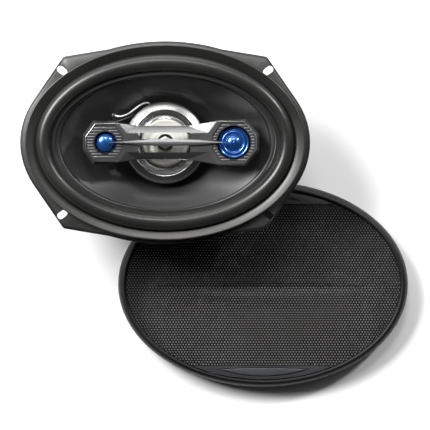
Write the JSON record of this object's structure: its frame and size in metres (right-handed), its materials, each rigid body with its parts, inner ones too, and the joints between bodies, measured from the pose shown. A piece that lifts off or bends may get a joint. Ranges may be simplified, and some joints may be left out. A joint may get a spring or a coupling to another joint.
{
  "type": "coaxial car speaker",
  "caption": "Oval coaxial car speaker: black cone in a rubber roll, silver midrange under a grey bridge with two blue tweeters, and its loose black mesh grille beside it.",
  "frame": {"origin": "centre of the flange's rear face, on the cone's axis", "axes": "+Z the way the speaker faces, +X along the oval's long axis"},
  "size_m": [0.3225, 0.2882, 0.098],
  "materials": {
    "basket": "satin black paint on pressed steel",
    "foam": "closed-cell foam",
    "trim": "fine-grained dark grey moulding",
    "rubber": "smooth butyl rubber",
    "cone": "black coated cone",
    "former": "amber film",
    "copper": "enamelled winding wire",
    "spider": "corrugated cloth",
    "steel": "zinc plated",
    "ferrite": "ferrite",
    "board": "phenolic board",
    "brass": "tin plated brass",
    "lead_silver": "braided tinsel lead",
    "lead_black": "black sleeve",
    "glue": "black cement",
    "silver": "satin",
    "chrome": "polished",
    "mid_cone": "vacuum metallised",
    "bridge": "metallic grey paint",
    "plate": "metallic grey paint, ribbed",
    "black": "black",
    "blue": "translucent blue dome",
    "cap": "sleeved capacitor",
    "mesh": "perforated steel, black",
    "grille": "black moulding",
    "badge": "blank plate"
  },
  "bodies": {
    "frame": {"basket": "basket", "flange_gasket": "foam", "trim_ring": "trim", "front_plate": "steel", "magnet": "ferrite", "yoke": "steel", "magnet_boot": "rubber", "basket_rivets": "steel", "terminal_board": "board", "terminal_positive": "brass", "terminal_negative": "brass", "terminal_rivets": "steel", "center_post": "steel", "post_spacer": "steel", "post_nut": "steel", "midrange_frame": "silver", "midrange_lip": "chrome", "midrange_plug": "chrome", "midrange_magnet": "ferrite", "bridge": "bridge", "bridge_rib": "bridge", "bridge_nut": "chrome", "tweeter_plate": "plate", "tweeter_cup": "black", "tweeter_magnet": "ferrite", "tweeter_capacitor": "cap", "super_tweeter_plate": "plate", "super_tweeter_cup": "black", "super_tweeter_magnet": "ferrite", "super_tweeter_capacitor": "cap"},
    "cone_body": {"cone": "cone", "cone_edge_band": "cone", "surround": "rubber", "voice_coil_former": "former", "voice_coil": "copper", "spider": "spider", "tinsel_leads": "lead_silver", "cone_eyelets": "glue", "tweeter_lead": "lead_silver", "tweeter_lead_black": "lead_black"},
    "midrange_body": {"midrange_cone": "mid_cone", "midrange_coil": "copper"},
    "tweeter_body": {"tweeter_dome": "blue", "tweeter_tip": "blue"},
    "super_tweeter_body": {"super_tweeter_dome": "blue"},
    "grille": {"grille_frame": "grille", "grille_mesh": "mesh", "grille_top_panel": "grille", "grille_bottom_panel": "grille", "grille_badge": "badge", "grille_clips": "steel", "grille_gasket": "foam"}
  },
  "joints": [
    {"name": "cone_travel", "type": "slide", "parent": "frame", "child": "cone_body", "axis": [0, 0, 1], "range_m": [-0.004, 0.004], "stiffness_N_per_m": 2000, "deforming": ["surround", "spider", "tinsel_leads", "tweeter_lead", "tweeter_lead_black"]},
    {"name": "midrange_travel", "type": "slide", "parent": "frame", "child": "midrange_body", "axis": [0, 0, 1], "range_m": [-0.0008, 0.0008], "stiffness_N_per_m": 1500},
    {"name": "tweeter_travel", "type": "slide", "parent": "frame", "child": "tweeter_body", "axis": [0, 0, 1], "range_m": [-0.00025, 0.00025], "stiffness_N_per_m": 3000},
    {"name": "super_tweeter_travel", "type": "slide", "parent": "frame", "child": "super_tweeter_body", "axis": [0, 0, 1], "range_m": [-0.0001, 0.0001], "stiffness_N_per_m": 4000},
    {"name": "grille_slide", "type": "slide", "parent": "frame", "child": "grille", "axis": [0.57, -0.8216, 0], "range_m": [0, 0.15]}
  ]
}
